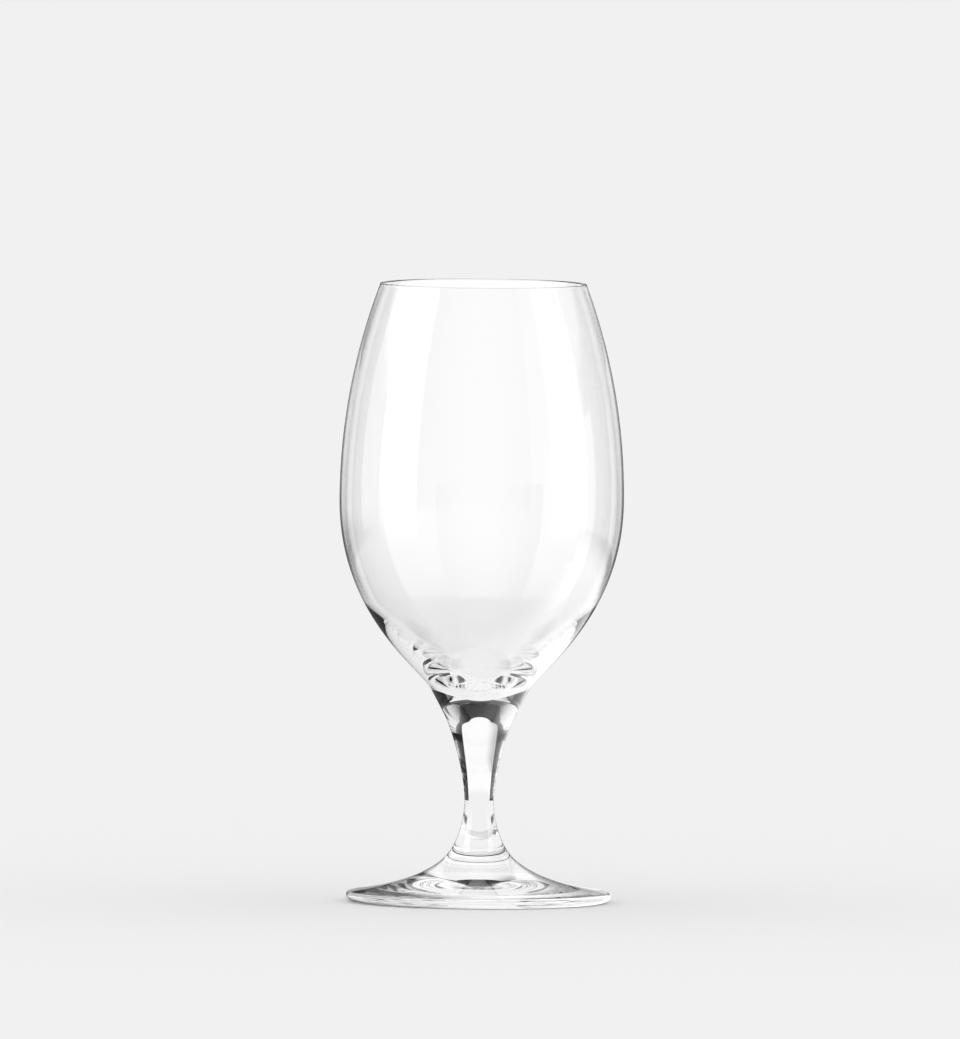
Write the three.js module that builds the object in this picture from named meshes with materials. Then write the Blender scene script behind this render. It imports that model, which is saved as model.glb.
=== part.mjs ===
// Beer goblet of clear glass: a thin tulip bowl on a short waisted stem and a low conical foot.
// The three pieces are formed apart and fused end to end while hot, so each one is a solid of revolution
// of its own, and neighbours meet face to face on a flat weld.
// Millimetres, +Z up, origin at the centre of the foot on the surface that the goblet stands on.

import * as THREE from "three";

// Foot
const footRadius = 37.85;
const footHeight = 16.1; // table to the weld under the stem
const footEdgeThickness = 2.9;
const footEdgeRound = 0.8; // rounding of the edge above
const footUnderReach = 5.3; // the rounding below the edge, measured inwards
const footUnderRise = 1.8; // and upwards
const footTopSlope = 8; // degrees, where the top runs out to the edge
const footTopRun = 20; // how far inwards that slope still leads the curve
const footNeckRun = 5.8; // how far down the neck's own slope leads the curve
const footLandWidth = 4; // flat ring that touches the table
const footHollow = 2; // rise of the underside at its middle

// Weld between foot and stem
const footWeldRadius = 7.35;
const footWeldSlope = 28.5; // degrees that the outline leans from upright

// Stem
const stemLength = 38; // weld to weld
const waistRadius = 4.2;
const waistHeight = 13.1; // above the foot weld
const waistRunDown = 5.2; // how far the upright waist leads the curve below it and above it
const waistRunUp = 7.6;
const stemBaseRun = 3.6; // how far the slope at each weld leads the curve of the stem
const stemTopRun = 5;

// Weld between stem and bowl
const bowlWeldRadius = 10.4;

// Bowl, with heights above its weld
const bowlHeight = 123.15;
const bellyRadius = 40.7; // widest
const bellyHeight = 61.3;
const rimRadius = 29.6;
const shoulderRadius = 14.5; // where the straight neck meets the flank
const shoulderHeight = 7.7;
const shoulderBlend = 1.2; // length of the soft corner there, each way
const flankSlope = 42; // degrees that the flank leans outwards as it leaves the shoulder
const flankShoulderRun = 10; // how far that slope leads the flank's curve
const flankBellyRun = 30; // how far the upright belly leads it
const wallThickness = 0.9;
const evenWallRun = 30.5; // length down the flank, from the belly, over which the wall stays even
const cavityFloorHeight = 6; // glass under the lowest point of the cavity
const cavityKneeRun = 13; // how far the even wall leads the curve of the cavity's base
const cavityFloorRun = 6.5; // how far the level floor leads it

// Facets
const roundSegments = 64;
const longCurveSteps = 9;
const shortCurveSteps = 4;

const degrees = THREE.MathUtils.degToRad;
const point = (radius, height) => new THREE.Vector2(radius, height);

// A unit step up an outline that leans outwards from upright by the given angle.
const leaning = (slope) => point(Math.sin(degrees(slope)), Math.cos(degrees(slope)));

// The point that lies a run away from a start, along a direction.
const along = (start, direction, run) => start.clone().addScaledVector(direction, run);

// Points of an outline, bottom of the axis to top of the axis, from stretches that follow each other.
function outline(...stretches) {
  const points = [];
  for (const { curve, steps } of stretches) {
    const next = curve.getPoints(steps);
    points.push(...(points.length ? next.slice(1) : next));
  }
  return points;
}

const straight = (start, end) => ({ curve: new THREE.LineCurve(start, end), steps: 1 });

const sweep = (start, lead, trail, end, steps) => ({
  curve: new THREE.CubicBezierCurve(start, lead, trail, end),
  steps,
});

const corner = (start, tip, end, steps) => ({
  curve: new THREE.QuadraticBezierCurve(start, tip, end),
  steps,
});

const arc = (centre, radius, from, to, steps) => ({
  curve: new THREE.EllipseCurve(centre.x, centre.y, radius, radius, from, to, to < from),
  steps,
});

// The line that keeps a depth inside a curve, square to it, from the curve's far end back over a length.
function innerWall(curve, depth, length, steps) {
  const points = [];
  for (let step = 0; step <= steps; step += 1) {
    const share = 1 - (length / curve.getLength()) * (step / steps);
    const rising = curve.getTangentAt(share);
    points.push(along(curve.getPointAt(share), point(-rising.y, rising.x), depth));
  }
  return { curve: new THREE.SplineCurve(points), steps };
}

// Clear, fire-polished glass with the faint grey of a thick section.
const clearGlass = () =>
  new THREE.MeshStandardMaterial({
    color: 0xeef1f0,
    roughness: 0.02,
    metalness: 0,
    transparent: true,
    opacity: 0.35,
  });

// Spins an outline round the upright axis and seats the piece at its height in the goblet.
function turned(name, points, seatHeight) {
  const geometry = new THREE.LatheGeometry(points, roundSegments).rotateX(Math.PI / 2);
  const mesh = new THREE.Mesh(geometry, clearGlass());
  mesh.name = name;
  mesh.position.z = seatHeight;
  return mesh;
}

// Foot: hollowed underside, flat standing ring, rounded edge, and a top that sweeps up to the weld.
function makeFoot() {
  const landRadius = footRadius - footUnderReach;
  const hollowRadius = landRadius - footLandWidth;
  const hollowArcRadius = (hollowRadius ** 2 + footHollow ** 2) / (2 * footHollow);
  const hollowArcCentre = point(0, footHollow - hollowArcRadius);
  const hollowArcSpan = Math.asin(hollowRadius / hollowArcRadius);
  const upright = Math.PI / 2;

  const landOuter = point(landRadius, 0);
  const lowerEdge = point(footRadius, footUnderRise);
  const upperEdge = point(footRadius, footEdgeThickness - footEdgeRound);
  const topSlope = point(Math.cos(degrees(footTopSlope)), -Math.sin(degrees(footTopSlope)));
  const topOuter = point(footRadius - footEdgeRound, footEdgeThickness);
  const weld = point(footWeldRadius, footHeight);

  return outline(
    arc(hollowArcCentre, hollowArcRadius, upright, upright - hollowArcSpan, shortCurveSteps),
    straight(point(hollowRadius, 0), landOuter),
    corner(landOuter, point(footRadius, 0), lowerEdge, shortCurveSteps),
    straight(lowerEdge, upperEdge),
    corner(upperEdge, point(footRadius, footEdgeThickness), topOuter, shortCurveSteps),
    sweep(
      topOuter,
      along(topOuter, topSlope, -footTopRun),
      along(weld, leaning(-footWeldSlope), -footNeckRun),
      weld,
      longCurveSteps,
    ),
    straight(weld, point(0, footHeight)),
  );
}

// The neck of the bowl rises straight from the weld to the shoulder, and the stem runs into it at that slope.
const neckRise = point(shoulderRadius - bowlWeldRadius, shoulderHeight).normalize();

// Stem: flares from a slim waist to the foot weld below and to the bowl weld above.
function makeStem() {
  const lowerWeld = point(footWeldRadius, 0);
  const upperWeld = point(bowlWeldRadius, stemLength);
  const waist = point(waistRadius, waistHeight);
  const up = leaning(0);

  return outline(
    straight(point(0, 0), lowerWeld),
    sweep(
      lowerWeld,
      along(lowerWeld, leaning(-footWeldSlope), stemBaseRun),
      along(waist, up, -waistRunDown),
      waist,
      longCurveSteps,
    ),
    sweep(
      waist,
      along(waist, up, waistRunUp),
      along(upperWeld, neckRise, -stemTopRun),
      upperWeld,
      longCurveSteps,
    ),
    straight(upperWeld, point(0, stemLength)),
  );
}

// The arc that leaves the widest point upright and passes through the given point above it.
function uprightArc(widest, through) {
  const rise = through.y - widest.y;
  const drawnIn = widest.x - through.x;
  const radius = (rise ** 2 + drawnIn ** 2) / (2 * drawnIn);
  return { centre: point(widest.x - radius, widest.y), radius, span: Math.asin(rise / radius) };
}

// Bowl: straight neck, round flank, belly, drawn-in mouth with a fire-polished lip, and the cavity inside it,
// whose wall is even down to a knee and thickens below that into a solid base.
function makeBowl() {
  const weld = point(bowlWeldRadius, 0);
  const shoulder = point(shoulderRadius, shoulderHeight);
  const flankStart = along(shoulder, leaning(flankSlope), shoulderBlend);
  const outerBelly = point(bellyRadius, bellyHeight);
  const flank = sweep(
    flankStart,
    along(flankStart, leaning(flankSlope), flankShoulderRun),
    point(bellyRadius, bellyHeight - flankBellyRun),
    outerBelly,
    longCurveSteps,
  );
  const neckTop = along(shoulder, neckRise, -shoulderBlend);

  const lipRound = wallThickness / 2;
  const lipHeight = bowlHeight - lipRound;
  const outerUpper = uprightArc(outerBelly, point(rimRadius, lipHeight));
  const innerBelly = point(bellyRadius - wallThickness, bellyHeight);
  const innerUpper = uprightArc(innerBelly, point(rimRadius - wallThickness, lipHeight));
  const evenWall = innerWall(flank.curve, wallThickness, evenWallRun, longCurveSteps);
  const knee = evenWall.curve.getPoint(1);
  const kneeFall = evenWall.curve.getTangent(1);

  return outline(
    straight(point(0, 0), weld),
    straight(weld, neckTop),
    corner(neckTop, shoulder, flankStart, shortCurveSteps),
    flank,
    arc(outerUpper.centre, outerUpper.radius, 0, outerUpper.span, longCurveSteps),
    arc(point(rimRadius - lipRound, lipHeight), lipRound, 0, Math.PI, shortCurveSteps),
    arc(innerUpper.centre, innerUpper.radius, innerUpper.span, 0, longCurveSteps),
    evenWall,
    sweep(
      knee,
      along(knee, kneeFall, cavityKneeRun),
      point(cavityFloorRun, cavityFloorHeight),
      point(0, cavityFloorHeight),
      longCurveSteps,
    ),
  );
}

const goblet = new THREE.Group();
goblet.name = "beer_goblet";
goblet.add(
  turned("foot", makeFoot(), 0),
  turned("stem", makeStem(), footHeight),
  turned("bowl", makeBowl(), footHeight + stemLength),
);

export default goblet;
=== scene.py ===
"""Looks of a clear-glass beer goblet: foot, stem and bowl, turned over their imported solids.

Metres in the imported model's frame, +Z up. The sizes of the pieces are written in millimetres.
"""

import logging
import math
from dataclasses import dataclass, field
from enum import Enum
from typing import Any, ClassVar

import bmesh
import bpy
from mathutils import Matrix, Vector
from mathutils.geometry import interpolate_bezier


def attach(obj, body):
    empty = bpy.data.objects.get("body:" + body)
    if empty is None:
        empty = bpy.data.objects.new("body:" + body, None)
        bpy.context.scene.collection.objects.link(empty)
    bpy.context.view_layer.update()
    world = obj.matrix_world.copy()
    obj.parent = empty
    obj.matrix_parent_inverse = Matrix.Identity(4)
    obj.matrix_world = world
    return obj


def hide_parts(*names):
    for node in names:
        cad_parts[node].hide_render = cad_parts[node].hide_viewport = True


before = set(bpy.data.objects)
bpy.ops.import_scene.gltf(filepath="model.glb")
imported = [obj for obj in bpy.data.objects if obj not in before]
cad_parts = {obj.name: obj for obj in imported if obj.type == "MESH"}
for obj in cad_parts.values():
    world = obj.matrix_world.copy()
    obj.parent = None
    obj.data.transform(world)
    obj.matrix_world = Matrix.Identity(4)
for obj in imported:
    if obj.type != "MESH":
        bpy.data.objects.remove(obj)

log = logging.getLogger("goblet")

MM = 0.001
BACKGROUND = "#f1f1f1"

Outline = list[Vector]
Stops = tuple[tuple[float, float], ...]
Colour = tuple[float, float, float, float]

WHITE: Colour = (1.0, 1.0, 1.0, 1.0)


def linear(hex_colour: str) -> Colour:
    """Turns an sRGB hex colour into a linear one.

    Args:
        hex_colour: the colour as "#rrggbb".

    Returns:
        Red, green, blue and an alpha of 1.
    """
    channels = [int(hex_colour[place:place + 2], 16) / 255 for place in (1, 3, 5)]
    red, green, blue = (
        channel / 12.92 if channel <= 0.04045 else ((channel + 0.055) / 1.055) ** 2.4
        for channel in channels
    )
    return red, green, blue, 1.0


def add_node(
    tree: bpy.types.NodeTree,
    kind: str,
    feeds: dict[str | int, Any] | None = None,
    **settings: Any,
) -> bpy.types.Node:
    """Adds a node to a tree, sets it up and links it.

    Args:
        tree: the tree that gets the node.
        kind: the node's type name.
        feeds: for an input, by name or number, the socket that feeds it or the value it holds.
        settings: properties of the node, such as its operation.

    Returns:
        The new node.
    """
    node = tree.nodes.new(kind)
    for name, value in settings.items():
        setattr(node, name, value)
    for key, value in (feeds or {}).items():
        if isinstance(value, bpy.types.NodeSocket):
            tree.links.new(value, node.inputs[key])
        else:
            node.inputs[key].default_value = value
    return node


def bare_material(name: str) -> bpy.types.Material:
    """Makes a material whose node tree is still empty.

    Args:
        name: the material's name.

    Returns:
        The new material.
    """
    material = bpy.data.materials.new(name)
    material.use_nodes = True
    material.node_tree.nodes.clear()
    return material


def leaning(slope: float) -> Vector:
    """A unit step up an outline that leans outwards from upright by slope degrees."""
    return Vector((math.sin(math.radians(slope)), math.cos(math.radians(slope))))


def sweep(start: Vector, lead: Vector, trail: Vector, end: Vector, steps: int = 60) -> Outline:
    """A cubic curve between two points.

    Args:
        start: where it begins.
        lead: the point it heads for as it begins.
        trail: the point it comes from as it ends.
        end: where it ends.
        steps: number of straight steps that draw it.

    Returns:
        The points of the curve, both ends among them.
    """
    return [Vector(place) for place in interpolate_bezier(start, lead, trail, end, steps + 1)]


def corner(start: Vector, tip: Vector, end: Vector, steps: int = 14) -> Outline:
    """A rounded corner.

    Args:
        start: where the rounding begins.
        tip: the sharp corner that it rounds.
        end: where it ends.
        steps: number of straight steps that draw it.

    Returns:
        The points of the curve, both ends among them.
    """
    return sweep(start, start.lerp(tip, 2 / 3), end.lerp(tip, 2 / 3), end, steps)


def arc(centre: Vector, radius: float, first: float, last: float, steps: int = 60) -> Outline:
    """An arc of a circle.

    Args:
        centre: the circle's centre.
        radius: the circle's radius.
        first: angle of the first point, in radians from the outward direction.
        last: angle of the last point.
        steps: number of straight steps that draw it.

    Returns:
        The points of the arc, both ends among them.
    """
    angles = [first + (last - first) * step / steps for step in range(steps + 1)]
    return [centre + radius * Vector((math.cos(angle), math.sin(angle))) for angle in angles]


def upright_arc(widest: Vector, through: Vector) -> tuple[Vector, float, float]:
    """The arc that is upright at the widest point and passes through a point above it.

    Args:
        widest: the widest point.
        through: the point above it.

    Returns:
        The arc's centre, its radius, and the angle it spans in radians.
    """
    rise = through.y - widest.y
    drawn_in = widest.x - through.x
    radius = (rise**2 + drawn_in**2) / (2 * drawn_in)
    return Vector((widest.x - radius, widest.y)), radius, math.asin(rise / radius)


def inner_wall(outer: Outline, depth: float, length: float) -> Outline:
    """The line that keeps a depth inside a curve, from the curve's far end back over a length.

    Args:
        outer: the points of the curve.
        depth: how far inside it the line runs, square to it.
        length: how far along the curve the line goes.

    Returns:
        The points of the line, from the curve's far end on.
    """
    line: Outline = []
    gone = 0.0
    for place in range(len(outer) - 1, 0, -1):
        rising = (outer[min(place + 1, len(outer) - 1)] - outer[place - 1]).normalized()
        line.append(outer[place] + depth * Vector((-rising.y, rising.x)))
        gone += (outer[place] - outer[place - 1]).length
        if gone >= length:
            break
    return line


def chain(*stretches: Outline) -> Outline:
    """Joins stretches that follow each other, each shared point kept once."""
    points = list(stretches[0])
    for stretch in stretches[1:]:
        points.extend(stretch[1:])
    return points


class Forming(Enum):
    """How the skin of a piece of glass got its shape."""

    BLOWN = "blown"
    DRAWN = "drawn"
    PRESSED = "pressed"


@dataclass(frozen=True)
class ClearGlass:
    """Soda-lime glass with a fire-polished skin.

    It is colourless, and shows itself by what it bends and mirrors and by its dark outline, which is painted
    shade: the colour is darkened where sight runs along the wall. The skin is not quite true: it
    keeps the slow waves of its forming, and a little wiping haze.

    Lengths are in millimetres. The outline gives the grey of painted shade for each slant, from 0 where
    the wall is faced to 1 where it is met edge on, and the share by height how much of that painted shade
    shows at each height.
    """

    name: str
    forming: Forming
    wave_width: float
    wave_height: float
    # Painted shade: greys that darken the colour towards the outline, by slant and by height.
    outline: Stops
    painted_outline_share: Stops = ((0.0, 1.0), (200.0, 1.0))
    tallest: float = 200.0
    tint: str = "#fefefe"
    ior: float = 1.52
    haze: float = 0.006
    haze_width: float = 18.0
    haze_range: tuple[float, float] = (0.45, 0.75)
    worn_ring: tuple[float, float] | None = None
    worn_height: float = 0.3
    scuff: float = 0.12
    scuff_width: float = 0.5

    def material(self) -> bpy.types.Material:
        """Makes the glass.

        Returns:
            The material.
        """
        material = bare_material(self.name)
        tree = material.node_tree
        place = add_node(tree, "ShaderNodeTexCoord").outputs["Object"]
        shader = add_node(
            tree,
            "ShaderNodeBsdfPrincipled",
            {
                "Base Color": self.colour_with_painted_outline(tree, place),
                "Roughness": self.roughness(tree, place),
                "IOR": self.ior,
                "Transmission Weight": 1.0,
                "Normal": self.waves(tree, place),
            },
        )
        add_node(tree, "ShaderNodeOutputMaterial", {"Surface": shader.outputs["BSDF"]})
        return material

    def colour_with_painted_outline(self, tree: bpy.types.NodeTree, place: bpy.types.NodeSocket) -> bpy.types.NodeSocket:
        """Paints shade into the colour where the wall is met edge on, which draws the dark outline of the
        glass.

        Args:
            tree: the material's tree.
            place: the place on the piece.

        Returns:
            The colour, with the painted shade of the outline on front faces.
        """
        # Painted shade: the colour darkens by Layer Weight facing and by height, and back faces stay clear.
        slant = add_node(tree, "ShaderNodeLayerWeight", {"Blend": 0.5}).outputs["Facing"]
        height = add_node(tree, "ShaderNodeSeparateXYZ", {0: place}).outputs["Z"]
        level = add_node(
            tree, "ShaderNodeMath", {0: height, 1: self.tallest * MM}, operation="DIVIDE"
        ).outputs[0]
        levels = tuple((up / self.tallest, share) for up, share in self.painted_outline_share)
        greys: list[bpy.types.NodeSocket] = []
        for value, stops in ((slant, self.outline), (level, levels)):
            ramp = add_node(tree, "ShaderNodeValToRGB", {"Fac": value})
            marks = ramp.color_ramp.elements
            while len(marks) < len(stops):
                marks.new(1.0)
            for mark, (position, grey) in zip(marks, stops):
                mark.position = position
                mark.color = (grey, grey, grey, 1.0)
            greys.append(ramp.outputs["Color"])
        line, share = greys
        clear = linear(self.tint)
        front_with_painted_shade = add_node(
            tree, "ShaderNodeMix", {"Factor": share, 6: clear, 7: line}, data_type="RGBA"
        ).outputs[2]
        leaving = add_node(tree, "ShaderNodeNewGeometry").outputs["Backfacing"]
        return add_node(
            tree, "ShaderNodeMix", {"Factor": leaving, 6: front_with_painted_shade, 7: clear}, data_type="RGBA"
        ).outputs[2]

    def roughness(self, tree: bpy.types.NodeTree, place: bpy.types.NodeSocket) -> bpy.types.NodeSocket:
        """A polished skin with the faint haze of wiping, and scuffs where the piece stands.

        Args:
            tree: the material's tree.
            place: the place on the piece.

        Returns:
            The roughness.
        """
        smears = add_node(
            tree,
            "ShaderNodeTexNoise",
            {"Vector": place, "Scale": 1 / (self.haze_width * MM), "Detail": 3.0, "Roughness": 0.6},
        )
        clean, hazy = self.haze_range
        haze = add_node(
            tree,
            "ShaderNodeMapRange",
            {"Value": smears.outputs["Fac"], 1: clean, 2: hazy, 3: 0.0, 4: self.haze},
            interpolation_type="SMOOTHSTEP",
        )
        if self.worn_ring is None:
            return haze.outputs["Result"]
        parts = add_node(tree, "ShaderNodeSeparateXYZ", {"Vector": place})
        flat = add_node(
            tree, "ShaderNodeCombineXYZ", {"X": parts.outputs["X"], "Y": parts.outputs["Y"]}
        )
        radius = add_node(tree, "ShaderNodeVectorMath", {0: flat.outputs[0]}, operation="LENGTH")
        inner, outer = (limit * MM for limit in self.worn_ring)
        middle = (inner + outer) / 2
        across = add_node(
            tree, "ShaderNodeMath", {0: radius.outputs["Value"], 1: middle}, operation="SUBTRACT"
        )
        off_ring = add_node(tree, "ShaderNodeMath", {0: across.outputs[0]}, operation="ABSOLUTE")
        on_ring = add_node(
            tree,
            "ShaderNodeMapRange",
            {"Value": off_ring.outputs[0], 1: 0.0, 2: (outer - inner) / 2, 3: 1.0, 4: 0.0},
        )
        low = add_node(
            tree,
            "ShaderNodeMapRange",
            {"Value": parts.outputs["Z"], 1: 0.0, 2: self.worn_height * MM, 3: 1.0, 4: 0.0},
        )
        # Scuffs are a few hundredths of a millimetre wide. They are drawn half a millimetre wide to show.
        scuffs = add_node(
            tree,
            "ShaderNodeTexNoise",
            {"Vector": place, "Scale": 1 / (self.scuff_width * MM), "Detail": 2.0},
        )
        worn = add_node(
            tree, "ShaderNodeMath", {0: on_ring.outputs[0], 1: low.outputs[0]}, operation="MULTIPLY"
        )
        scuffed = add_node(
            tree, "ShaderNodeMath", {0: worn.outputs[0], 1: scuffs.outputs["Fac"]}, operation="MULTIPLY"
        )
        return add_node(
            tree,
            "ShaderNodeMath",
            {0: scuffed.outputs[0], 1: self.scuff, 2: haze.outputs["Result"]},
            operation="MULTIPLY_ADD",
        ).outputs[0]

    def waves(self, tree: bpy.types.NodeTree, place: bpy.types.NodeSocket) -> bpy.types.NodeSocket:
        """The slow unevenness that forming leaves in the skin.

        Args:
            tree: the material's tree.
            place: the place on the piece.

        Returns:
            The skin's normal.
        """
        stretch = {
            Forming.BLOWN: (1.0, 1.0, 0.45),
            Forming.DRAWN: (1.0, 1.0, 0.25),
            Forming.PRESSED: (1.0, 1.0, 1.0),
        }[self.forming]
        stretched = add_node(tree, "ShaderNodeMapping", {"Vector": place, "Scale": stretch})
        noise = add_node(
            tree,
            "ShaderNodeTexNoise",
            {"Vector": stretched.outputs[0], "Scale": 1 / (self.wave_width * MM), "Detail": 1.0},
        )
        bump = add_node(
            tree,
            "ShaderNodeBump",
            {"Strength": 1.0, "Distance": self.wave_height * MM, "Height": noise.outputs["Fac"]},
        )
        return bump.outputs["Normal"]


@dataclass(frozen=True)
class WeldedGlass:
    """The seam inside two fused pieces. Hot glass runs together there, so nothing of it shows."""

    name: str = "fused_seam"

    def material(self) -> bpy.types.Material:
        """Makes the seam, which lets everything through.

        Returns:
            The material.
        """
        material = bare_material(self.name)
        tree = material.node_tree
        shader = add_node(tree, "ShaderNodeBsdfPrincipled", {"Alpha": 0.0, "Transmission Weight": 1.0})
        add_node(tree, "ShaderNodeOutputMaterial", {"Surface": shader.outputs["BSDF"]})
        return material


class Lathe:
    """Turns an outline about the upright axis, by a tree of geometry nodes."""

    around: int = 192
    closing: float = 0.002

    def __init__(self) -> None:
        """Builds the tree, with named inputs for its sizes."""
        self.tree = bpy.data.node_groups.new("turned_glass", "GeometryNodeTree")
        self.sockets: dict[str, str] = {}
        tree = self.tree
        for name, kind in (
            ("Outline", "NodeSocketGeometry"),
            ("Segments Around", "NodeSocketInt"),
            ("Seat Height", "NodeSocketFloat"),
            ("Closing Distance", "NodeSocketFloat"),
            ("Weld Below", "NodeSocketBool"),
            ("Weld Above", "NodeSocketBool"),
            ("Glass", "NodeSocketMaterial"),
            ("Seam", "NodeSocketMaterial"),
        ):
            socket = tree.interface.new_socket(name=name, in_out="INPUT", socket_type=kind)
            self.sockets[name] = socket.identifier
        tree.interface.new_socket(name="Piece", in_out="OUTPUT", socket_type="NodeSocketGeometry")
        self.lay_out(add_node(tree, "NodeGroupInput").outputs)

    def lay_out(self, given: bpy.types.NodeOutputs) -> None:
        """Lays a sheet of faces round the axis, closes its seam and poles, and gives it its glass.

        Args:
            given: the tree's inputs.
        """
        tree = self.tree
        size = add_node(tree, "GeometryNodeAttributeDomainSize", {0: given["Outline"]})
        count = size.outputs["Point Count"]
        columns = add_node(
            tree, "ShaderNodeMath", {0: given["Segments Around"], 1: 1.0}, operation="ADD"
        ).outputs[0]
        sheet = add_node(tree, "GeometryNodeMeshGrid", {"Vertices X": columns, "Vertices Y": count})
        index = add_node(tree, "GeometryNodeInputIndex").outputs[0]
        step = add_node(tree, "ShaderNodeMath", {0: index, 1: count}, operation="MODULO").outputs[0]
        share = add_node(tree, "ShaderNodeMath", {0: index, 1: count}, operation="DIVIDE").outputs[0]
        column = add_node(tree, "ShaderNodeMath", {0: share}, operation="FLOOR").outputs[0]
        # A whole turn comes back to its own start, so the seam closes exactly.
        turned = add_node(
            tree, "ShaderNodeMath", {0: column, 1: given["Segments Around"]}, operation="MODULO"
        ).outputs[0]
        turn = add_node(
            tree, "ShaderNodeMath", {0: turned, 1: given["Segments Around"]}, operation="DIVIDE"
        ).outputs[0]
        angle = add_node(
            tree, "ShaderNodeMath", {0: turn, 1: 2 * math.pi}, operation="MULTIPLY"
        ).outputs[0]
        here = add_node(tree, "GeometryNodeInputPosition").outputs[0]
        sampled = add_node(
            tree,
            "GeometryNodeSampleIndex",
            {"Geometry": given["Outline"], "Value": here, "Index": step},
            data_type="FLOAT_VECTOR",
            domain="POINT",
        )
        parts = add_node(tree, "ShaderNodeSeparateXYZ", {0: sampled.outputs[0]}).outputs
        cosine = add_node(tree, "ShaderNodeMath", {0: angle}, operation="COSINE").outputs[0]
        sine = add_node(tree, "ShaderNodeMath", {0: angle}, operation="SINE").outputs[0]
        across = add_node(tree, "ShaderNodeMath", {0: parts["X"], 1: cosine}, operation="MULTIPLY")
        away = add_node(tree, "ShaderNodeMath", {0: parts["X"], 1: sine}, operation="MULTIPLY")
        seated = add_node(tree, "ShaderNodeMath", {0: parts["Z"], 1: given["Seat Height"]}, operation="ADD")
        places = add_node(
            tree,
            "ShaderNodeCombineXYZ",
            {"X": across.outputs[0], "Y": away.outputs[0], "Z": seated.outputs[0]},
        )
        wrapped = add_node(
            tree,
            "GeometryNodeSetPosition",
            {"Geometry": sheet.outputs["Mesh"], "Position": places.outputs[0]},
        )
        rows = add_node(tree, "ShaderNodeMath", {0: count, 1: 1.0}, operation="SUBTRACT").outputs[0]
        row = add_node(tree, "ShaderNodeMath", {0: index, 1: rows}, operation="MODULO").outputs[0]
        last = add_node(tree, "ShaderNodeMath", {0: rows, 1: 1.0}, operation="SUBTRACT").outputs[0]
        below = add_node(tree, "ShaderNodeMath", {0: row, 1: 0.5}, operation="LESS_THAN").outputs[0]
        above = add_node(
            tree, "ShaderNodeMath", {0: row, 1: last, 2: 0.5}, operation="COMPARE"
        ).outputs[0]
        seam_below = add_node(
            tree, "ShaderNodeMath", {0: below, 1: given["Weld Below"]}, operation="MULTIPLY"
        ).outputs[0]
        seam_above = add_node(
            tree, "ShaderNodeMath", {0: above, 1: given["Weld Above"]}, operation="MULTIPLY"
        ).outputs[0]
        seam = add_node(
            tree, "ShaderNodeMath", {0: seam_below, 1: seam_above}, operation="MAXIMUM"
        ).outputs[0]
        marked = add_node(
            tree,
            "GeometryNodeStoreNamedAttribute",
            {"Geometry": wrapped.outputs[0], "Name": "seam", "Value": seam},
            data_type="BOOLEAN",
            domain="FACE",
        )
        closed = add_node(
            tree,
            "GeometryNodeMergeByDistance",
            {"Geometry": marked.outputs[0], "Distance": given["Closing Distance"]},
        )
        on_seam = add_node(tree, "GeometryNodeInputNamedAttribute", {"Name": "seam"}, data_type="BOOLEAN")
        smooth = add_node(
            tree, "GeometryNodeSetShadeSmooth", {0: closed.outputs[0], "Shade Smooth": True}, domain="FACE"
        )
        real = add_node(tree, "GeometryNodeRealizeInstances", {"Geometry": smooth.outputs[0]})
        glass = add_node(
            tree, "GeometryNodeSetMaterial", {"Geometry": real.outputs[0], "Material": given["Glass"]}
        )
        sealed = add_node(
            tree,
            "GeometryNodeSetMaterial",
            {"Geometry": glass.outputs[0], "Selection": on_seam.outputs[0], "Material": given["Seam"]},
        )
        add_node(tree, "NodeGroupOutput", {"Piece": sealed.outputs[0]})

    def turn(self, name: str, points: Outline, sizes: dict[str, Any]) -> bpy.types.Object:
        """Turns one outline into a piece.

        Args:
            name: the piece's name.
            points: the outline in millimetres, bottom of the axis to top of the axis.
            sizes: values for the tree's other inputs, by name.

        Returns:
            The piece, a plain mesh at the origin.
        """
        mesh = bpy.data.meshes.new(f"{name}_outline")
        mesh.from_pydata(
            [(place.x * MM, 0.0, place.y * MM) for place in points],
            [(step, step + 1) for step in range(len(points) - 1)],
            [],
        )
        piece = bpy.data.objects.new(name, mesh)
        bpy.context.scene.collection.objects.link(piece)
        modifier = piece.modifiers.new("turned", "NODES")
        modifier.node_group = self.tree
        given = {"Segments Around": self.around, "Closing Distance": self.closing * MM, **sizes}
        for label, value in given.items():
            modifier[self.sockets[label]] = value
        evaluated = piece.evaluated_get(bpy.context.evaluated_depsgraph_get())
        turned = bpy.data.meshes.new_from_object(evaluated)
        turned.name = name
        piece.modifiers.clear()
        piece.data = turned
        bpy.data.meshes.remove(mesh)
        return piece


@dataclass(frozen=True)
class Weld:
    """A flat seam where two pieces are fused: its radius, its height, and the lean of the outline there."""

    radius: float
    height: float
    lean: float


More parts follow.
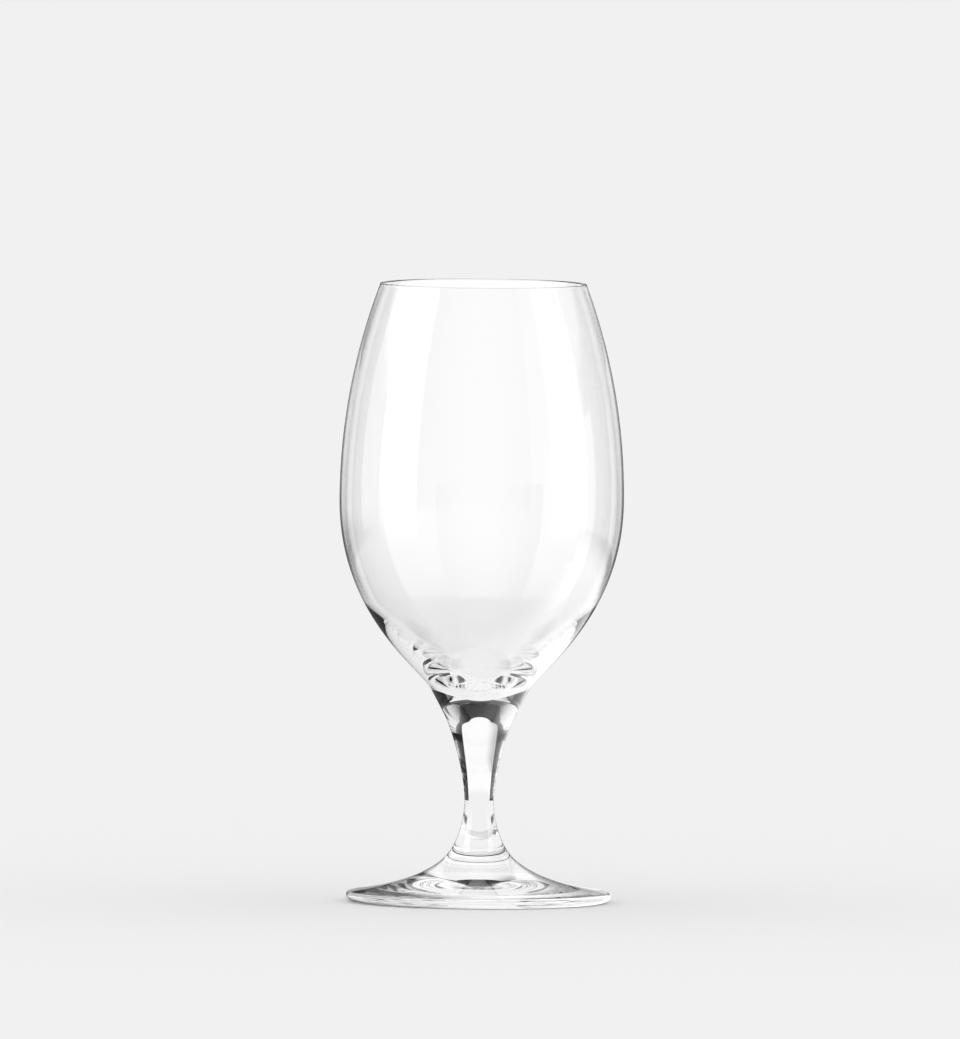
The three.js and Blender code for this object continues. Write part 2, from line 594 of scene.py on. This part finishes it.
@dataclass
class TurnedPiece:
    """A piece of the goblet, round about the upright axis."""

    node: ClassVar[str] = ""
    glass_slot: ClassVar[str] = ""
    weld_below: ClassVar[bool] = False
    weld_above: ClassVar[bool] = False

    def outline(self) -> Outline:
        """The piece's outline above its seat, from the bottom of the axis to the top."""
        raise NotImplementedError

    def seat(self) -> float:
        """Height of the piece's lower end above the table."""
        raise NotImplementedError

    def build(self, lathe: Lathe, glass: bpy.types.Material, seam: bpy.types.Material) -> bpy.types.Object:
        """Turns the piece.

        Args:
            lathe: what turns it.
            glass: the glass of its skin.
            seam: the glass of its welded ends.

        Returns:
            The piece.
        """
        return lathe.turn(
            f"{self.node}_{glass.name}",
            self.outline(),
            {
                "Seat Height": self.seat() * MM,
                "Weld Below": self.weld_below,
                "Weld Above": self.weld_above,
                "Glass": glass,
                "Seam": seam,
            },
        )

    def dress(self, piece: bpy.types.Object) -> None:
        """Faces the skin outwards, keeps the rings of the seams crisp, hangs the piece under the root body
        and hides the imported node it stands for.

        Args:
            piece: the turned piece.
        """
        shell = bmesh.new()
        shell.from_mesh(piece.data)
        bmesh.ops.recalc_face_normals(shell, faces=shell.faces)
        for edge in shell.edges:
            edge.smooth = len({face.material_index for face in edge.link_faces}) == 1
        shell.to_mesh(piece.data)
        shell.free()
        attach(piece, "root")
        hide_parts(self.node)


@dataclass
class Foot(TurnedPiece):
    """A solid disc: hollowed below, with a flat standing ring, a rounded edge and a top that sweeps up."""

    node: ClassVar[str] = "foot"
    glass_slot: ClassVar[str] = "foot_glass"
    weld_above: ClassVar[bool] = True

    weld: Weld
    radius: float = 37.85
    edge_thickness: float = 2.9
    edge_round: float = 0.8
    under_reach: float = 5.3
    under_rise: float = 1.8
    top_slope: float = 8.0
    top_run: float = 20.0
    neck_run: float = 5.8
    land_width: float = 4.0
    hollow: float = 2.0

    def seat(self) -> float:
        """The foot stands on the table."""
        return 0.0

    def standing_ring(self) -> tuple[float, float]:
        """Inner and outer radius of the flat ring that touches the table."""
        outer = self.radius - self.under_reach
        return outer - self.land_width, outer

    def outline(self) -> Outline:
        """The foot's outline.

        Returns:
            Its points, from the middle of the hollow to the middle of the weld.
        """
        hollow_radius, land_radius = self.standing_ring()
        bend = (hollow_radius**2 + self.hollow**2) / (2 * self.hollow)
        upright = math.pi / 2
        span = math.asin(hollow_radius / bend)
        land = Vector((land_radius, 0.0))
        lower_edge = Vector((self.radius, self.under_rise))
        upper_edge = Vector((self.radius, self.edge_thickness - self.edge_round))
        top = Vector((self.radius - self.edge_round, self.edge_thickness))
        inwards = leaning(self.top_slope - 90.0)
        weld = Vector((self.weld.radius, self.weld.height))
        return chain(
            arc(Vector((0.0, self.hollow - bend)), bend, upright, upright - span, steps=30),
            [Vector((hollow_radius, 0.0)), Vector(((hollow_radius + land_radius) / 2, 0.0)), land],
            corner(land, Vector((self.radius, 0.0)), lower_edge, steps=24),
            [lower_edge, upper_edge],
            corner(upper_edge, Vector((self.radius, self.edge_thickness)), top),
            sweep(top, top + inwards * self.top_run, weld - leaning(self.weld.lean) * self.neck_run, weld),
            [weld, Vector((0.0, self.weld.height))],
        )


@dataclass
class Stem(TurnedPiece):
    """A solid rod, slim at its waist and flared to both welds."""

    node: ClassVar[str] = "stem"
    glass_slot: ClassVar[str] = "stem_glass"
    weld_below: ClassVar[bool] = True
    weld_above: ClassVar[bool] = True

    lower: Weld
    upper: Weld
    waist_radius: float = 4.2
    waist_height: float = 13.1
    waist_run_down: float = 5.2
    waist_run_up: float = 7.6
    base_run: float = 3.6
    top_run: float = 5.0

    def seat(self) -> float:
        """The stem stands on the foot's weld."""
        return self.lower.height

    def outline(self) -> Outline:
        """The stem's outline.

        Returns:
            Its points, from the middle of one weld to the middle of the other.
        """
        length = self.upper.height - self.lower.height
        base = Vector((self.lower.radius, 0.0))
        top = Vector((self.upper.radius, length))
        waist = Vector((self.waist_radius, self.waist_height))
        up = leaning(0.0)
        base_lead = base + leaning(self.lower.lean) * self.base_run
        top_trail = top - leaning(self.upper.lean) * self.top_run
        return chain(
            [Vector((0.0, 0.0)), base],
            sweep(base, base_lead, waist - up * self.waist_run_down, waist, steps=40),
            sweep(waist, waist + up * self.waist_run_up, top_trail, top),
            [top, Vector((0.0, length))],
        )


@dataclass
class Bowl(TurnedPiece):
    """A thin tulip: straight neck, round flank, belly, drawn-in mouth with a fire-polished lip.

    The wall inside is even down to a knee, and thickens below it into a solid base.
    """

    node: ClassVar[str] = "bowl"
    glass_slot: ClassVar[str] = "bowl_glass"
    weld_below: ClassVar[bool] = True

    weld: Weld
    height: float = 123.15
    belly_radius: float = 40.7
    belly_height: float = 61.3
    rim_radius: float = 29.6
    shoulder_radius: float = 14.5
    shoulder_height: float = 7.7
    shoulder_blend: float = 1.2
    flank_slope: float = 42.0
    flank_shoulder_run: float = 10.0
    flank_belly_run: float = 30.0
    wall: float = 0.9
    even_wall_run: float = 30.5
    floor_height: float = 6.0
    knee_run: float = 13.0
    floor_run: float = 6.5

    def seat(self) -> float:
        """The bowl stands on the stem's upper weld."""
        return self.weld.height

    def outline(self) -> Outline:
        """The bowl's outline.

        Returns:
            Its points, from the middle of the weld, over the lip, to the middle of the cavity's floor.
        """
        weld = Vector((self.weld.radius, 0.0))
        shoulder = Vector((self.shoulder_radius, self.shoulder_height))
        flank_start = shoulder + leaning(self.flank_slope) * self.shoulder_blend
        neck_top = shoulder - leaning(self.weld.lean) * self.shoulder_blend
        belly = Vector((self.belly_radius, self.belly_height))
        flank = sweep(
            flank_start,
            flank_start + leaning(self.flank_slope) * self.flank_shoulder_run,
            belly - leaning(0.0) * self.flank_belly_run,
            belly,
            steps=70,
        )
        lip = self.wall / 2
        lip_height = self.height - lip
        rim = Vector((self.rim_radius, lip_height))
        inwards = Vector((-self.wall, 0.0))
        outer_centre, outer_bend, outer_span = upright_arc(belly, rim)
        inner_centre, inner_bend, inner_span = upright_arc(belly + inwards, rim + inwards)
        even = inner_wall(flank, self.wall, self.even_wall_run)
        knee = even[-1]
        falling = (even[-1] - even[-2]).normalized()
        floor = Vector((0.0, self.floor_height))
        floor_trail = Vector((self.floor_run, self.floor_height))
        return chain(
            [Vector((0.0, 0.0)), weld],
            sweep(weld, weld.lerp(neck_top, 1 / 3), weld.lerp(neck_top, 2 / 3), neck_top, steps=10),
            corner(neck_top, shoulder, flank_start),
            flank,
            arc(outer_centre, outer_bend, 0.0, outer_span),
            arc(Vector((self.rim_radius - lip, lip_height)), lip, 0.0, math.pi, steps=16),
            arc(inner_centre, inner_bend, inner_span, 0.0),
            even,
            sweep(knee, knee + falling * self.knee_run, floor_trail, floor, steps=70),
        )


class Seen(Enum):
    """Where a card of the studio shows: in what the glass mirrors, and in what is seen through it.

    No card shows to the camera itself or lights the floor.
    """

    THROUGH_GLASS = (False, True)
    ON_GLASS = (True, False)


def stage_mesh(
    name: str,
    places: list[tuple[float, float, float]],
    faces: list[tuple[int, ...]],
    material: bpy.types.Material,
) -> bpy.types.Object:
    """Makes a piece of the studio, which is no part of the goblet.

    Args:
        name: its name.
        places: its corners, in metres.
        faces: its faces, as numbers of corners.
        material: its material.

    Returns:
        The piece of the studio.
    """
    mesh = bpy.data.meshes.new(name)
    mesh.from_pydata(places, [], faces)
    mesh.materials.append(material)
    staged = bpy.data.objects.new(name, mesh)
    bpy.context.scene.collection.objects.link(staged)
    return staged


@dataclass(frozen=True)
class Card:
    """A curved card that stands round the goblet, bright or dark, with edges that may fade.

    Angles are in degrees from the far side, to the right as the camera sees it. Lengths are in metres.
    """

    name: str
    first: float
    last: float
    distance: float
    bottom: float
    top: float
    level: float
    seen: Seen
    soft_sides: float = 0.0
    soft_top: float = 0.0
    soft_bottom: float = 0.0
    strips: int = 24

    def build(self) -> bpy.types.Object:
        """Stands the card up.

        Returns:
            The card.
        """
        material = bare_material(self.name)
        tree = material.node_tree
        glow = add_node(tree, "ShaderNodeEmission", {"Strength": self.light(tree)})
        add_node(tree, "ShaderNodeOutputMaterial", {"Surface": glow.outputs[0]})
        places: list[tuple[float, float, float]] = []
        for strip in range(self.strips + 1):
            angle = math.radians(self.first + (self.last - self.first) * strip / self.strips)
            across, away = self.distance * math.sin(angle), self.distance * math.cos(angle)
            places += [(across, away, self.bottom), (across, away, self.top)]
        faces = [(2 * strip, 2 * strip + 2, 2 * strip + 3, 2 * strip + 1) for strip in range(self.strips)]
        card = stage_mesh(self.name, places, faces, material)
        card.visible_camera = card.visible_diffuse = card.visible_shadow = False
        card.visible_glossy, card.visible_transmission = self.seen.value
        return card

    def light(self, tree: bpy.types.NodeTree) -> bpy.types.NodeSocket | float:
        """The card's light, faded towards its edges.

        Args:
            tree: the material's tree.

        Returns:
            The strength.
        """
        level: bpy.types.NodeSocket | float = self.level
        place = add_node(tree, "ShaderNodeTexCoord").outputs["Object"]
        parts = add_node(tree, "ShaderNodeSeparateXYZ", {0: place}).outputs
        if self.soft_sides:
            middle = math.radians((self.first + self.last) / 2)
            turned = add_node(
                tree, "ShaderNodeVectorRotate", {"Vector": place, "Angle": middle}, rotation_type="Z_AXIS"
            ).outputs[0]
            sides = add_node(tree, "ShaderNodeSeparateXYZ", {0: turned}).outputs
            turn = add_node(tree, "ShaderNodeMath", {0: sides["X"], 1: sides["Y"]}, operation="ARCTAN2")
            aside = add_node(tree, "ShaderNodeMath", {0: turn.outputs[0]}, operation="ABSOLUTE").outputs[0]
            end = math.radians(abs(self.last - self.first) / 2)
            level = self.faded(tree, level, aside, end - math.radians(self.soft_sides), end)
        if self.soft_top:
            level = self.faded(tree, level, parts["Z"], self.top - self.soft_top, self.top)
        if self.soft_bottom:
            level = self.faded(tree, level, parts["Z"], self.bottom + self.soft_bottom, self.bottom)
        return level

    @staticmethod
    def faded(
        tree: bpy.types.NodeTree,
        level: bpy.types.NodeSocket | float,
        along: bpy.types.NodeSocket,
        start: float,
        end: float,
    ) -> bpy.types.NodeSocket:
        """Fades a light out between two places.

        Args:
            tree: the material's tree.
            level: the light.
            along: the place along the card.
            start: where the fading starts.
            end: where no light is left.

        Returns:
            The faded light.
        """
        share = add_node(
            tree,
            "ShaderNodeMapRange",
            {"Value": along, 1: start, 2: end, 3: 1.0, 4: 0.0},
            interpolation_type="SMOOTHSTEP",
        ).outputs[0]
        return add_node(tree, "ShaderNodeMath", {0: level, 1: share}, operation="MULTIPLY").outputs[0]


@dataclass(frozen=True)
class Window:
    """The lit backdrop that is seen through the glass. It narrows upwards, and its upper left is dimmer.

    Lengths are in metres. The dimming sets in over a range of heights and a range to the left.
    """

    distance: float = 0.55
    half_width: float = 0.385
    narrow_from: float = 0.11
    top_half_width: float = 0.29
    height: float = 0.41
    low_level: float = 0.92
    level: float = 1.04
    low_edge: tuple[float, float] = (0.035, 0.080)
    dimmed: float = 0.50
    dim_heights: tuple[float, float] = (0.13, 0.19)
    dim_places: tuple[float, float] = (-0.080, -0.300)

    def build(self) -> bpy.types.Object:
        """Hangs the backdrop.

        Returns:
            The backdrop.
        """
        material = bare_material("lit_backdrop")
        tree = material.node_tree
        place = add_node(tree, "ShaderNodeTexCoord").outputs["Object"]
        parts = add_node(tree, "ShaderNodeSeparateXYZ", {0: place}).outputs
        level, raised, left = (
            add_node(
                tree,
                "ShaderNodeMapRange",
                {"Value": value, 1: start, 2: end, 3: first, 4: last},
                interpolation_type="SMOOTHSTEP",
            ).outputs[0]
            for value, (start, end), (first, last) in (
                (parts["Z"], self.low_edge, (self.low_level, self.level)),
                (parts["Z"], self.dim_heights, (0.0, 1.0)),
                (parts["X"], self.dim_places, (0.0, self.dimmed)),
            )
        )
        lost = add_node(tree, "ShaderNodeMath", {0: raised, 1: left}, operation="MULTIPLY").outputs[0]
        kept = add_node(tree, "ShaderNodeMath", {0: 1.0, 1: lost}, operation="SUBTRACT").outputs[0]
        level = add_node(tree, "ShaderNodeMath", {0: level, 1: kept}, operation="MULTIPLY").outputs[0]
        glow = add_node(tree, "ShaderNodeEmission", {"Strength": level})
        add_node(tree, "ShaderNodeOutputMaterial", {"Surface": glow.outputs[0]})
        places = [
            (-self.half_width, self.distance, 0.0),
            (self.half_width, self.distance, 0.0),
            (self.half_width, self.distance, self.narrow_from),
            (self.top_half_width, self.distance, self.height),
            (-self.top_half_width, self.distance, self.height),
            (-self.half_width, self.distance, self.narrow_from),
        ]
        backdrop = stage_mesh("lit_backdrop", places, [(0, 1, 2, 3, 4, 5)], material)
        backdrop.visible_camera = backdrop.visible_diffuse = backdrop.visible_shadow = False
        backdrop.visible_glossy, backdrop.visible_transmission = Seen.THROUGH_GLASS.value
        return backdrop


@dataclass(frozen=True)
class Floor:
    """A plain pale floor, matt to the camera.

    To the glass it glows at levels of its own, which is painted light. Seen through the glass it glows
    evenly, fades far behind, and has a dark wedge of painted shade to each side, near the foot and again far
    out. In what the glass mirrors, it is a painted reflection, bright close by at the right and dark
    elsewhere. Angles are in degrees from the far side, and lengths in metres.
    """

    radius: float = 3.0
    corners: int = 96
    lit: float = 0.92
    foot_level: float = 0.95
    foot_fade: tuple[float, float] = (0.028, 0.048)
    far_level: float = 0.06
    far_fade: tuple[float, float] = (0.6, 1.6)
    # Painted shade: how dark the wedges are that the glass shows beside the foot and far out.
    painted_wedge_shade: float = 0.96
    wedge_first: tuple[float, float] = (33.0, 37.0)
    wedge_last: tuple[float, float] = (70.0, 82.0)
    wedge_start: tuple[float, float] = (0.042, 0.055)
    near_wedge_end: tuple[float, float] = (0.07, 0.09)
    far_wedge_start: tuple[float, float] = (0.42, 0.48)
    # Painted reflection: the floor's levels in what the glass mirrors, dark, and bright close by at the
    # right.
    mirrored_painted_shade: float = 0.14
    mirrored_painted_light: float = 2.0
    mirrored_edge: tuple[float, float] = (-0.02, 0.02)
    mirrored_front: float = -0.04
    mirrored_fade: tuple[float, float] = (0.28, 0.42)

    def build(self) -> bpy.types.Object:
        """Lays the floor.

        Returns:
            The floor.
        """
        material = bare_material("pale_floor")
        tree = material.node_tree
        place = add_node(tree, "ShaderNodeTexCoord").outputs["Object"]
        parts = add_node(tree, "ShaderNodeSeparateXYZ", {0: place}).outputs
        away = add_node(tree, "ShaderNodeVectorMath", {0: place}, operation="LENGTH").outputs["Value"]
        path = add_node(tree, "ShaderNodeLightPath").outputs
        in_glass = add_node(
            tree,
            "ShaderNodeMath",
            {0: path["Is Glossy Ray"], 1: path["Is Transmission Ray"]},
            operation="MAXIMUM",
        )
        through = self.seen_through(tree, parts, away)
        mirrored = self.mirrored(tree, parts, away)
        level = add_node(
            tree,
            "ShaderNodeMix",
            {0: path["Is Reflection Ray"], 2: through, 3: mirrored},
            data_type="FLOAT",
        ).outputs[0]
        matt = add_node(tree, "ShaderNodeBsdfDiffuse", {"Color": linear(BACKGROUND)})
        glow = add_node(tree, "ShaderNodeEmission", {"Strength": level})
        both = add_node(
            tree, "ShaderNodeMixShader", {0: in_glass.outputs[0], 1: matt.outputs[0], 2: glow.outputs[0]}
        )
        add_node(tree, "ShaderNodeOutputMaterial", {"Surface": both.outputs[0]})
        turns = [2 * math.pi * corner_number / self.corners for corner_number in range(self.corners)]
        places = [(self.radius * math.cos(turn), self.radius * math.sin(turn), 0.0) for turn in turns]
        return stage_mesh("pale_floor", places, [tuple(range(self.corners))], material)

    def seen_through(
        self, tree: bpy.types.NodeTree, parts: bpy.types.NodeOutputs, away: bpy.types.NodeSocket
    ) -> bpy.types.NodeSocket:
        """The painted light of the floor as it is seen through the glass.

        Args:
            tree: the material's tree.
            parts: the place on the floor, across and away from the camera.
            away: its distance from the goblet.

        Returns:
            The strength.
        """
        turn = add_node(tree, "ShaderNodeMath", {0: parts["X"], 1: parts["Y"]}, operation="ARCTAN2")
        degrees = add_node(tree, "ShaderNodeMath", {0: turn.outputs[0]}, operation="DEGREES")
        aside = add_node(tree, "ShaderNodeMath", {0: degrees.outputs[0]}, operation="ABSOLUTE").outputs[0]
        level, unfaded, begun, unended, outside, near, far = (
            add_node(
                tree,
                "ShaderNodeMapRange",
                {"Value": value, 1: start, 2: end, 3: first, 4: last},
                interpolation_type="SMOOTHSTEP",
            ).outputs[0]
            for value, (start, end), (first, last) in (
                (away, self.foot_fade, (self.foot_level, self.lit)),
                (parts["Y"], self.far_fade, (1.0, self.far_level)),
                (aside, self.wedge_first, (0.0, 1.0)),
                (aside, self.wedge_last, (1.0, 0.0)),
                (away, self.wedge_start, (0.0, 1.0)),
                (away, self.near_wedge_end, (1.0, 0.0)),
                (away, self.far_wedge_start, (0.0, 1.0)),
            )
        )
        either = add_node(tree, "ShaderNodeMath", {0: near, 1: far}, operation="MAXIMUM").outputs[0]
        # Painted shade: the dark wedges to each side, near the foot and far out.
        dark: bpy.types.NodeSocket | float = self.painted_wedge_shade
        for share in (begun, unended, outside, either):
            dark = add_node(tree, "ShaderNodeMath", {0: dark, 1: share}, operation="MULTIPLY").outputs[0]
        undarkened = add_node(tree, "ShaderNodeMath", {0: 1.0, 1: dark}, operation="SUBTRACT").outputs[0]
        for share in (unfaded, undarkened):
            level = add_node(tree, "ShaderNodeMath", {0: level, 1: share}, operation="MULTIPLY").outputs[0]
        return level

    def mirrored(
        self, tree: bpy.types.NodeTree, parts: bpy.types.NodeOutputs, away: bpy.types.NodeSocket
    ) -> bpy.types.NodeSocket:
        """The painted reflection of the floor as the glass mirrors it.

        Args:
            tree: the material's tree.
            parts: the place on the floor, across and away from the camera.
            away: its distance from the goblet.

        Returns:
            The strength.
        """
        left, right = self.mirrored_edge
        near, far = self.mirrored_fade
        inside = parts["X"]
        for limit in (
            add_node(tree, "ShaderNodeMath", {0: parts["Y"], 1: self.mirrored_front}, operation="SUBTRACT"),
            add_node(tree, "ShaderNodeMapRange", {"Value": away, 1: near, 2: far, 3: right, 4: left}),
        ):
            inside = add_node(
                tree, "ShaderNodeMath", {0: inside, 1: limit.outputs[0]}, operation="MINIMUM"
            ).outputs[0]
        # Painted reflection: bright close by at the right, dark elsewhere.
        return add_node(
            tree,
            "ShaderNodeMapRange",
            {"Value": inside, 1: left, 2: right, 3: self.mirrored_painted_shade, 4: self.mirrored_painted_light},
        ).outputs[0]


@dataclass
class Studio:
    """Plain soft light on a pale ground, with cards that give the glass something to bend and mirror."""

    room: float = 0.02
    bounces: int = 40
    mirror_bounces: int = 20
    floor: Floor = field(default_factory=Floor)
    window: Window = field(default_factory=Window)
    # Name, first and last angle, distance, bottom, top, level, where it shows, soft sides, top and bottom.
    cards: tuple[Card, ...] = (
        Card("dark_flag_left", -35.0, -62.0, 0.50, 0.0, 0.6, 0.015, Seen.THROUGH_GLASS),
        Card("dark_flag_right", 35.0, 85.0, 0.50, 0.0, 0.6, 0.015, Seen.THROUGH_GLASS),
        Card("back_light", -35.0, 35.0, 0.57, 0.19, 0.55, 1.1, Seen.ON_GLASS, 12.0, 0.10, 0.08),
        Card("low_back_light", -12.0, 12.0, 0.575, 0.0, 0.07, 0.5, Seen.ON_GLASS, 4.0, 0.02),
        Card("edge_light_left", -100.0, -18.0, 0.58, 0.0, 0.6, 0.9, Seen.ON_GLASS, 12.0, 0.0, 0.09),
        Card("edge_light_right", 18.0, 112.0, 0.58, 0.0, 0.6, 0.9, Seen.ON_GLASS, 12.0),
        Card("softbox_left", -131.0, -92.0, 0.25, 0.0, 0.45, 2.5, Seen.ON_GLASS, 3.0, 0.1, 0.16),
        Card("softbox_right", 97.0, 127.0, 0.25, 0.0, 0.45, 1.8, Seen.ON_GLASS, 3.0, 0.1, 0.16),
        Card("pale_side_left", -126.0, -66.0, 0.62, 0.0, 1.2, 1.06, Seen.THROUGH_GLASS, 0.0, 0.8),
        Card("pale_side_right", 85.0, 140.0, 0.62, 0.0, 1.2, 1.0, Seen.THROUGH_GLASS, 0.0, 0.8),
        Card("front_fill", 110.0, 250.0, 1.5, 0.0, 4.0, 0.92, Seen.THROUGH_GLASS, 60.0, 1.5),
    )

    def build(self) -> None:
        """Sets the studio up round the goblet."""
        self.light_room()
        self.floor.build()
        self.window.build()
        for card in self.cards:
            card.build()
        cycles = bpy.context.scene.cycles
        cycles.max_bounces = self.bounces
        cycles.transmission_bounces = self.bounces
        cycles.transparent_max_bounces = self.bounces
        cycles.glossy_bounces = self.mirror_bounces

    def light_room(self) -> None:
        """Lights the floor evenly, shows the camera the background, and leaves the room dim to the glass."""
        world = bpy.data.worlds.new("studio")
        bpy.context.scene.world = world
        world.use_nodes = True
        tree = world.node_tree
        tree.nodes.clear()
        path = add_node(tree, "ShaderNodeLightPath").outputs
        dim = add_node(tree, "ShaderNodeBackground", {"Color": WHITE, "Strength": self.room})
        soft = add_node(tree, "ShaderNodeBackground", {"Color": WHITE, "Strength": 1.0})
        pale = add_node(tree, "ShaderNodeBackground", {"Color": linear(BACKGROUND), "Strength": 1.0})
        lit = add_node(
            tree, "ShaderNodeMixShader", {0: path["Is Diffuse Ray"], 1: dim.outputs[0], 2: soft.outputs[0]}
        )
        shown = add_node(
            tree, "ShaderNodeMixShader", {0: path["Is Camera Ray"], 1: lit.outputs[0], 2: pale.outputs[0]}
        )
        add_node(tree, "ShaderNodeOutputWorld", {"Surface": shown.outputs[0]})


@dataclass(frozen=True)
class Viewpoint:
    """A far camera, a little above the goblet's middle."""

    distance: float = 12.0
    rise: float = 2.9
    roll: float = 0.5
    frame_height: float = 0.2973
    target: tuple[float, float, float] = (-0.00045, 0.0, 0.10958)
    sensor: float = 36.0
    sight: float = 100.0

    def build(self) -> bpy.types.Object:
        """Sets the camera up. The frame is higher than wide, so the sensor's width spans its height.

        Returns:
            The camera.
        """
        lens = bpy.data.cameras.new("camera")
        lens.sensor_width = self.sensor
        lens.lens = self.sensor * self.distance / self.frame_height
        lens.clip_end = self.sight
        camera = bpy.data.objects.new("camera", lens)
        bpy.context.scene.collection.objects.link(camera)
        rise = math.radians(self.rise)
        target = Vector(self.target)
        place = target + self.distance * Vector((0.0, -math.cos(rise), math.sin(rise)))
        facing = (target - place).to_track_quat("-Z", "Y").to_matrix().to_4x4()
        tilt = Matrix.Rotation(math.radians(self.roll), 4, "Z")
        camera.matrix_world = Matrix.Translation(place) @ facing @ tilt
        bpy.context.scene.camera = camera
        return camera


def main() -> None:
    """Builds the goblet, the studio and the camera."""
    logging.basicConfig(level=logging.INFO)
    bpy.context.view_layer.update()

    foot_weld = Weld(radius=7.35, height=16.1, lean=-28.5)
    neck_radius = 10.4
    neck_lean = math.degrees(math.atan2(Bowl.shoulder_radius - neck_radius, Bowl.shoulder_height))
    bowl_weld = Weld(radius=neck_radius, height=54.1, lean=neck_lean)
    foot = Foot(foot_weld)
    stem = Stem(foot_weld, bowl_weld)
    bowl = Bowl(bowl_weld)

    # Greys of painted shade for the dark outline: by slant for each glass, and for the bowl its share by
    # height in millimetres.
    solid_painted_outline = ((0.0, 1.0), (0.5, 0.98), (0.69, 0.93), (0.78, 0.8), (0.85, 0.45), (0.92, 0.3))
    wall_painted_outline = ((0.0, 1.0), (0.72, 1.0), (0.78, 0.6), (0.82, 0.15), (0.88, 0.01))
    wall_painted_outline_share = (
        (60.0, 0.0),
        (80.0, 0.0),
        (90.0, 0.8),
        (98.0, 1.0),
        (115.0, 0.98),
        (140.0, 0.65),
        (174.0, 0.3),
        (176.5, 0.0),
    )
    finishes = (
        ClearGlass(
            "pressed_glass",
            Forming.PRESSED,
            wave_width=9.0,
            wave_height=0.004,
            outline=solid_painted_outline,
            worn_ring=foot.standing_ring(),
        ),
        ClearGlass("drawn_glass", Forming.DRAWN, wave_width=6.0, wave_height=0.003, outline=solid_painted_outline),
        ClearGlass(
            "blown_glass",
            Forming.BLOWN,
            wave_width=30.0,
            wave_height=0.02,
            outline=wall_painted_outline,
            painted_outline_share=wall_painted_outline_share,
        ),
    )
    seam = WeldedGlass().material()
    lathe = Lathe()
    for piece, finish in zip((foot, stem, bowl), finishes):
        made = piece.build(lathe, finish.material(), seam)
        piece.dress(made)
        log.info("%s: %d faces of %s", piece.node, len(made.data.polygons), finish.name)

    Studio().build()
    Viewpoint().build()
    bpy.context.scene.view_settings.view_transform = "Standard"


if __name__ == "__main__":
    main()
